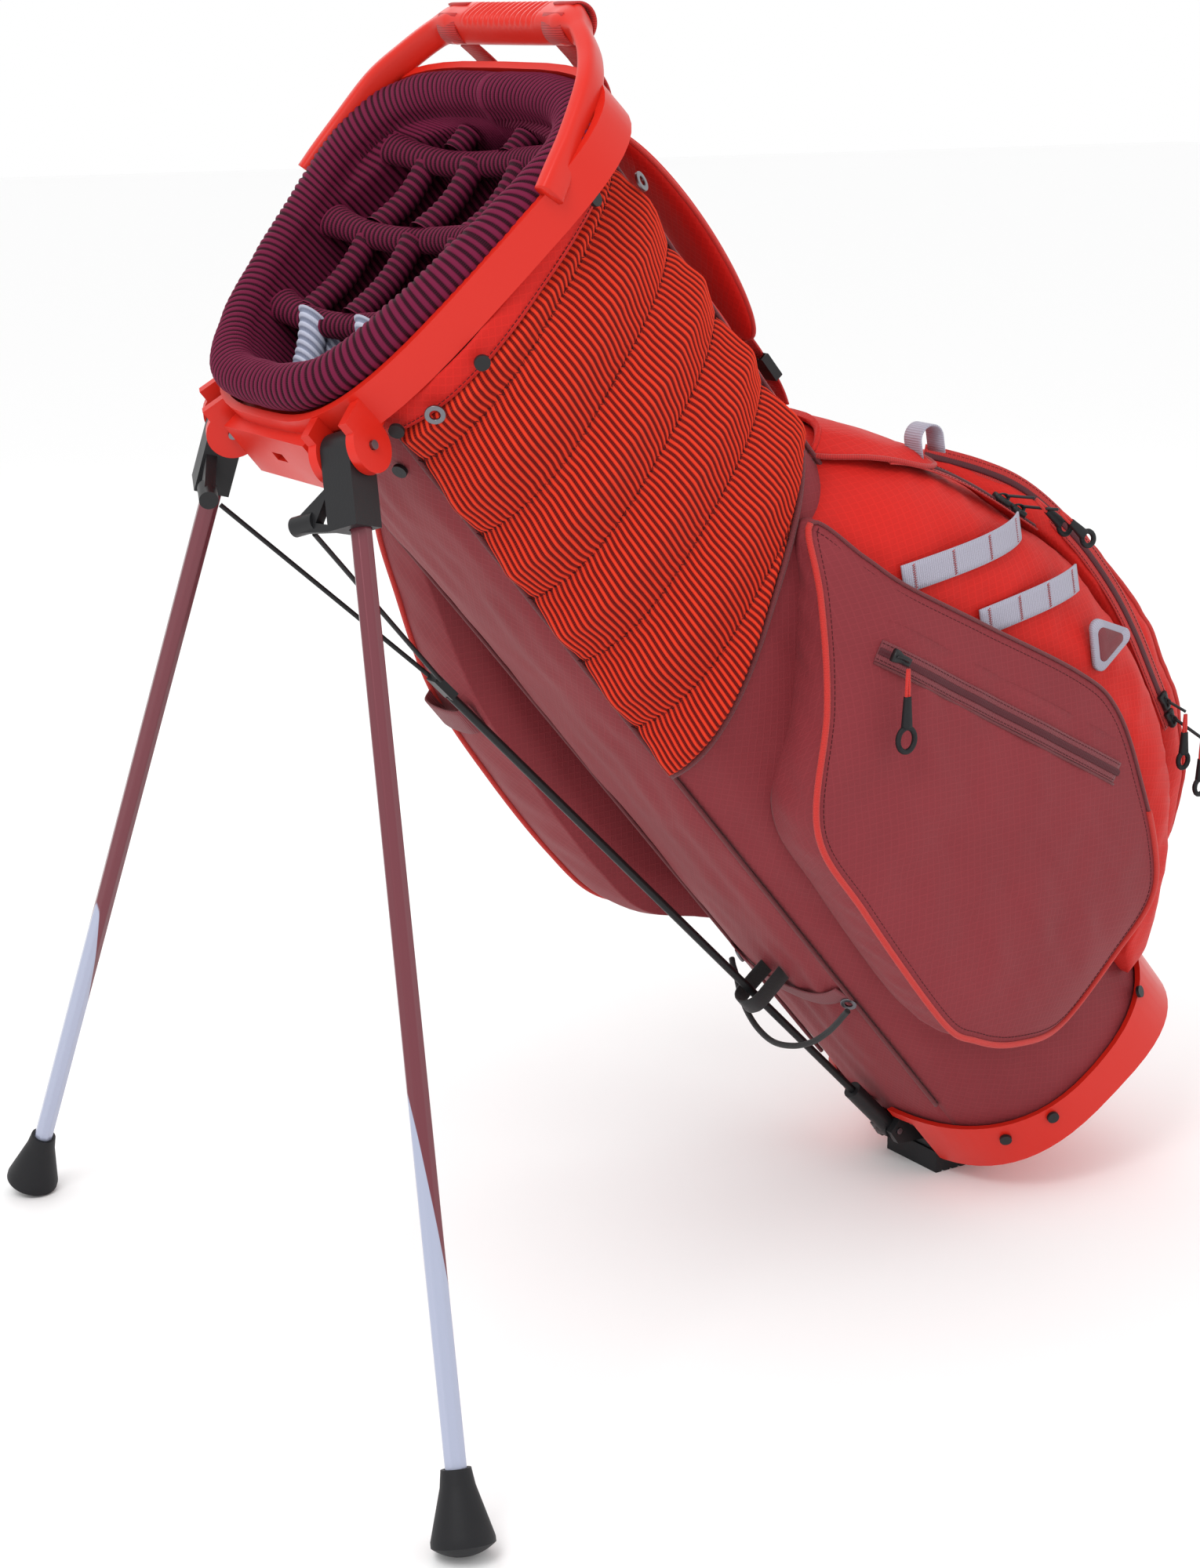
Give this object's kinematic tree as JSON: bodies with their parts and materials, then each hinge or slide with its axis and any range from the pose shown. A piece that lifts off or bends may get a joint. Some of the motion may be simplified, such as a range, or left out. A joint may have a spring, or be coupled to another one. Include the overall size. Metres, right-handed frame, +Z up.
{
  "type": "golf stand bag",
  "caption": "Golf stand bag leaning on two folding legs and a hinged base pad, with a divided padded mouth, carrying handle and stacked zip pockets.",
  "frame": {"origin": "middle of the base pad's sole, on the ground", "axes": "+Z up; the bag leans towards -X, where the two legs stand; +Y towards the left leg"},
  "size_m": [0.8039, 0.6754, 0.8679],
  "materials": {
    "moulded_plastic": "moulded, satin, orange-red",
    "red_fabric": "woven ripstop, coated",
    "maroon_fabric": "woven ripstop, coated, dark red",
    "ribbed_knit": "ribbed knit, plum",
    "red_ribbed_knit": "ribbed mesh, orange-red over dark red",
    "grey_webbing": "woven webbing",
    "black_plastic": "moulded, fine texture",
    "rubber": "moulded rubber",
    "steel": "polished steel",
    "wire": "coated steel wire",
    "leg_alloy": "coated aluminium tube",
    "cord": "elastic cord with woven sheath"
  },
  "bodies": {
    "bag": {"base_cup": "moulded_plastic", "base_floor": "black_plastic", "rivets": "black_plastic", "foot_hinge_pin": "steel", "front_panel": "maroon_fabric", "near_panel": "maroon_fabric", "far_panel": "maroon_fabric", "spine_panel": "red_fabric", "stays": "black_plastic", "top_collar": "moulded_plastic", "handle": "moulded_plastic", "handle_wraps": "red_fabric", "strap_webbing": "red_fabric", "rim_pad": "ribbed_knit", "divider_cross_1": "ribbed_knit", "divider_cross_2": "ribbed_knit", "divider_cross_3": "ribbed_knit", "dividers_row_1": "grey_webbing", "dividers_row_2": "ribbed_knit", "dividers_row_3": "ribbed_knit", "dividers_row_4": "ribbed_knit", "hip_pad": "red_ribbed_knit", "near_pocket": "maroon_fabric", "far_pocket": "maroon_fabric", "ball_pocket": "red_fabric", "rear_pocket": "red_fabric", "lash_strips": "grey_webbing", "badge": "grey_webbing", "tab_loop": "grey_webbing", "loop_strap": "maroon_fabric", "eyelets": "steel", "rod_keeper": "cord", "bungee": "cord", "leg_screws": "steel", "near_zip_track": "maroon_fabric", "curved_zip_tracks": "maroon_fabric", "strap_pads": "red_fabric", "strap_buckles": "black_plastic", "ball_zip_sliders": "black_plastic", "rear_zip_sliders": "black_plastic"},
    "leg_left": {"leg_tube_left": "leg_alloy", "leg_bracket_left": "black_plastic", "leg_foot_left": "rubber"},
    "leg_right": {"leg_tube_right": "leg_alloy", "leg_bracket_right": "black_plastic", "leg_foot_right": "rubber"},
    "base_foot": {"foot_lever": "black_plastic", "foot_pad": "rubber", "socket_pin": "steel"},
    "push_rod": {"push_rod": "wire", "rod_socket": "black_plastic"},
    "fork_left": {"fork_wire_left": "wire"},
    "fork_right": {"fork_wire_right": "wire"},
    "pocket_flap": {"pocket_flap": "red_fabric"},
    "near_slider": {"near_zip_slider": "black_plastic"},
    "near_pull": {"near_zip_pull": "black_plastic"},
    "ball_pull_a": {"ball_zip_pull_a": "black_plastic"},
    "ball_pull_b": {"ball_zip_pull_b": "black_plastic"},
    "rear_pull_a": {"rear_zip_pull_a": "black_plastic"},
    "rear_pull_b": {"rear_zip_pull_b": "black_plastic"}
  },
  "joints": [
    {"name": "leg_left_swing", "type": "hinge", "parent": "bag", "child": "leg_left", "pos_m": [-0.54685, 0.083, 0.60504], "axis": [0.3643, 0.8796, 0.3057], "range_deg": [-48, 0]},
    {"name": "leg_right_swing", "type": "hinge", "parent": "bag", "child": "leg_right", "pos_m": [-0.54685, -0.083, 0.60504], "axis": [-0.3643, 0.8796, -0.3057], "range_deg": [-48, 0]},
    {"name": "base_foot_fold", "type": "hinge", "parent": "bag", "child": "base_foot", "pos_m": [-0.00856, 0, 0.03198], "axis": [0, 1, 0], "range_deg": [-44, 0]},
    {"name": "rod_socket_turn", "type": "hinge", "parent": "base_foot", "child": "push_rod", "pos_m": [-0.04954, 0, 0.03415], "axis": [0, 1, 0], "range_deg": [0, 47]},
    {"name": "fork_left_spread", "type": "hinge", "parent": "push_rod", "child": "fork_left", "pos_m": [-0.44449, 0.007, 0.43638], "axis": [0.766, 0, 0.6428], "range_deg": [0, 4]},
    {"name": "fork_right_spread", "type": "hinge", "parent": "push_rod", "child": "fork_right", "pos_m": [-0.44449, -0.007, 0.43638], "axis": [0.766, 0, 0.6428], "range_deg": [-4, 0]},
    {"name": "flap_lift", "type": "hinge", "parent": "bag", "child": "pocket_flap", "pos_m": [-0.18422, 0, 0.59603], "axis": [0, 1, 0], "range_deg": [-90, 0]},
    {"name": "near_zip_run", "type": "slide", "parent": "bag", "child": "near_slider", "axis": [0.8838, 0, -0.4678], "range_m": [0, 0.2]},
    {"name": "near_pull_swing", "type": "hinge", "parent": "near_slider", "child": "near_pull", "pos_m": [-0.18948, -0.1775, 0.44672], "axis": [0, 1, 0], "range_deg": [-60, 60]},
    {"name": "ball_pull_a_lift", "type": "hinge", "parent": "bag", "child": "ball_pull_a", "pos_m": [-0.03819, -0.125, 0.53712], "axis": [0, 1, 0], "range_deg": [-120, 0]},
    {"name": "ball_pull_b_lift", "type": "hinge", "parent": "bag", "child": "ball_pull_b", "pos_m": [-0.0233, -0.133, 0.52872], "axis": [0, 1, 0], "range_deg": [-120, 0]},
    {"name": "rear_pull_a_lift", "type": "hinge", "parent": "bag", "child": "rear_pull_a", "pos_m": [0.12194, -0.121, 0.3634], "axis": [0, 1, 0], "range_deg": [-100, 8]},
    {"name": "rear_pull_b_lift", "type": "hinge", "parent": "bag", "child": "rear_pull_b", "pos_m": [0.13225, -0.129, 0.34333], "axis": [0, 1, 0], "range_deg": [-100, 8]}
  ],
  "couplings": [
    {"joint": "leg_right_swing", "follows": "leg_left_swing", "ratio": 1},
    {"joint": "base_foot_fold", "follows": "leg_left_swing", "ratio": 0.91056},
    {"joint": "rod_socket_turn", "follows": "leg_left_swing", "ratio": -0.9647},
    {"joint": "fork_left_spread", "follows": "leg_left_swing", "ratio": -0.07583},
    {"joint": "fork_right_spread", "follows": "leg_left_swing", "ratio": 0.07583}
  ]
}
